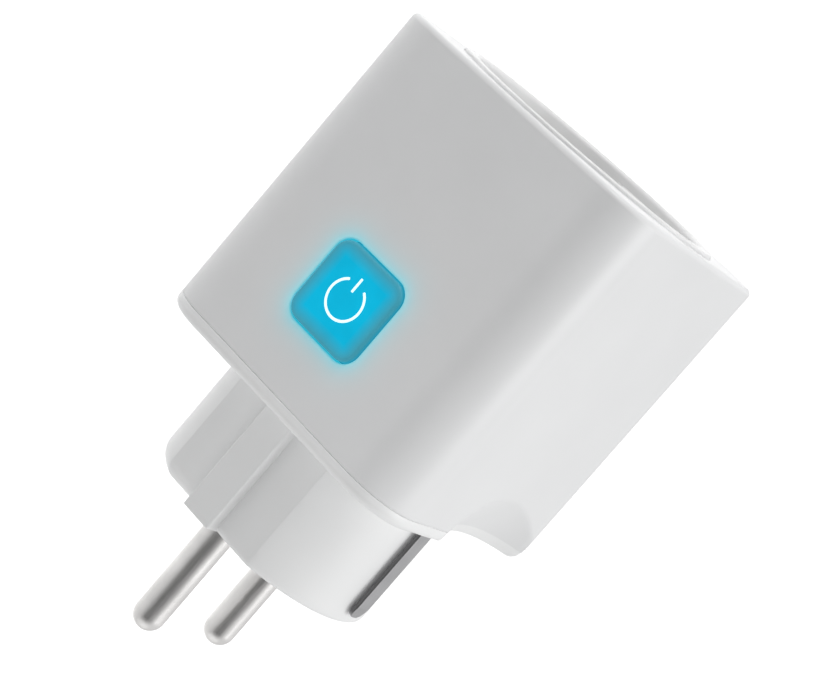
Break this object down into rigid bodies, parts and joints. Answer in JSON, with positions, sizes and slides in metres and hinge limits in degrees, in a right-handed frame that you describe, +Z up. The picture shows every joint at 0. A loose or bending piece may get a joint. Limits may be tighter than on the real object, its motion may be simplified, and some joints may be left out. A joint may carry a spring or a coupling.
{
  "type": "smart plug",
  "caption": "Pass-through mains adapter with a plug on one end, a recessed earthed socket on the other and a lit push button on the side.",
  "frame": {"origin": "centre of the plug's engagement face, the flat end that meets the wall socket's floor, between the two pins", "axes": "+Y along the plug's axis into the wall, so the pins point along +Y and the socket opens along -Y; +X out of the face with the button; +Z up, towards one finger scoop and one earth contact; the pins lie side by side along X"},
  "size_m": [0.049, 0.09, 0.0486],
  "materials": {
    "housing_plastic": "moulded ABS and polycarbonate, light grey-white, satin gloss, lit cyan round the button",
    "cover_plastic": "moulded plastic, light grey-white, satin",
    "socket_plastic": "moulded plastic, white, satin",
    "shutter_plastic": "moulded, pale grey, smooth",
    "carrier_plastic": "heat-resistant moulding, ivory",
    "pin_nickel": "nickel-plated brass, satin",
    "contact_brass": "tinned spring brass",
    "earth_steel": "plated spring steel, dull grey",
    "spring_steel": "bright spring wire",
    "screw_steel": "zinc-plated",
    "board_laminate": "glass-epoxy board with green lacquer",
    "radio_laminate": "glass-epoxy board with dark blue lacquer",
    "shield_metal": "thin tinned sheet",
    "relay_blue": "moulded relay case, blue",
    "black_moulding": "black moulding compound",
    "coil_copper": "enamelled copper winding",
    "relay_iron": "plated soft iron",
    "contact_alloy": "copper alloy with silver tips",
    "capacitor_sleeve": "shrink sleeve with an aluminium top",
    "ferrite": "ferrite core with heat-shrink",
    "varistor_coat": "epoxy coat, blue",
    "resistor_coat": "cement coat, green",
    "film_yellow": "film capacitor box, yellow",
    "component_tan": "ceramic and resistor chips",
    "led_lens": "clear package with a cyan light",
    "guide_diffuser": "clear to milky acrylic",
    "button_cyan": "translucent cap, lit cyan from behind",
    "symbol_white": "white inlay"
  },
  "bodies": {
    "casing": {"housing": "housing_plastic", "rear_cover": "cover_plastic", "housing_screws": "screw_steel", "socket_insert": "socket_plastic", "shutter_spring": "spring_steel", "contact_carrier": "carrier_plastic", "carrier_screws": "screw_steel", "live_pin": "pin_nickel", "neutral_pin": "pin_nickel", "live_contact": "contact_brass", "neutral_contact": "contact_brass", "earth_strap_right": "earth_steel", "earth_strap_left": "earth_steel", "earth_sleeve": "contact_brass", "main_board": "board_laminate", "relay_base": "black_moulding", "relay_cover": "relay_blue", "relay_bobbin": "black_moulding", "relay_coil": "coil_copper", "relay_yoke": "relay_iron", "relay_fixed_contact": "contact_alloy", "bulk_capacitors": "capacitor_sleeve", "power_inductor": "ferrite", "varistor": "varistor_coat", "fusible_resistor": "resistor_coat", "suppression_capacitor": "film_yellow", "bridge_rectifier": "black_moulding", "converter_chip": "black_moulding", "metering_chip": "black_moulding", "shunt_resistor": "relay_iron", "small_components": "component_tan", "radio_board": "radio_laminate", "radio_shield": "shield_metal", "control_board": "board_laminate", "switch_body": "black_moulding", "switch_plate": "shield_metal", "status_leds": "led_lens", "light_guide": "guide_diffuser"},
    "button": {"button_cap": "button_cyan", "power_symbol": "symbol_white"},
    "plunger": {"switch_plunger": "black_moulding"},
    "shutter": {"shutter": "shutter_plastic"},
    "armature": {"relay_armature": "relay_iron", "relay_moving_contact": "contact_alloy"}
  },
  "joints": [
    {"name": "button_press", "type": "slide", "parent": "casing", "child": "button", "axis": [-1, 0, 0], "range_m": [0, 0.00035], "stiffness_N_per_m": 900, "springref_m": -0.0006},
    {"name": "switch_press", "type": "slide", "parent": "casing", "child": "plunger", "axis": [-1, 0, 0], "range_m": [0, 0.00035]},
    {"name": "shutter_turn", "type": "hinge", "parent": "casing", "child": "shutter", "pos_m": [0, -0.0498, 0], "axis": [0, -1, 0], "range_deg": [0, 40], "stiffness_Nm_per_rad": 0.01, "springref_deg": -17.19},
    {"name": "relay_close", "type": "hinge", "parent": "casing", "child": "armature", "pos_m": [0.0011, -0.0373, 0.0114], "axis": [0, 0, -1], "range_deg": [0, 3.3], "stiffness_Nm_per_rad": 0.01, "springref_deg": -5.73}
  ],
  "couplings": [
    {"joint": "switch_press", "follows": "button_press", "ratio": 1}
  ]
}
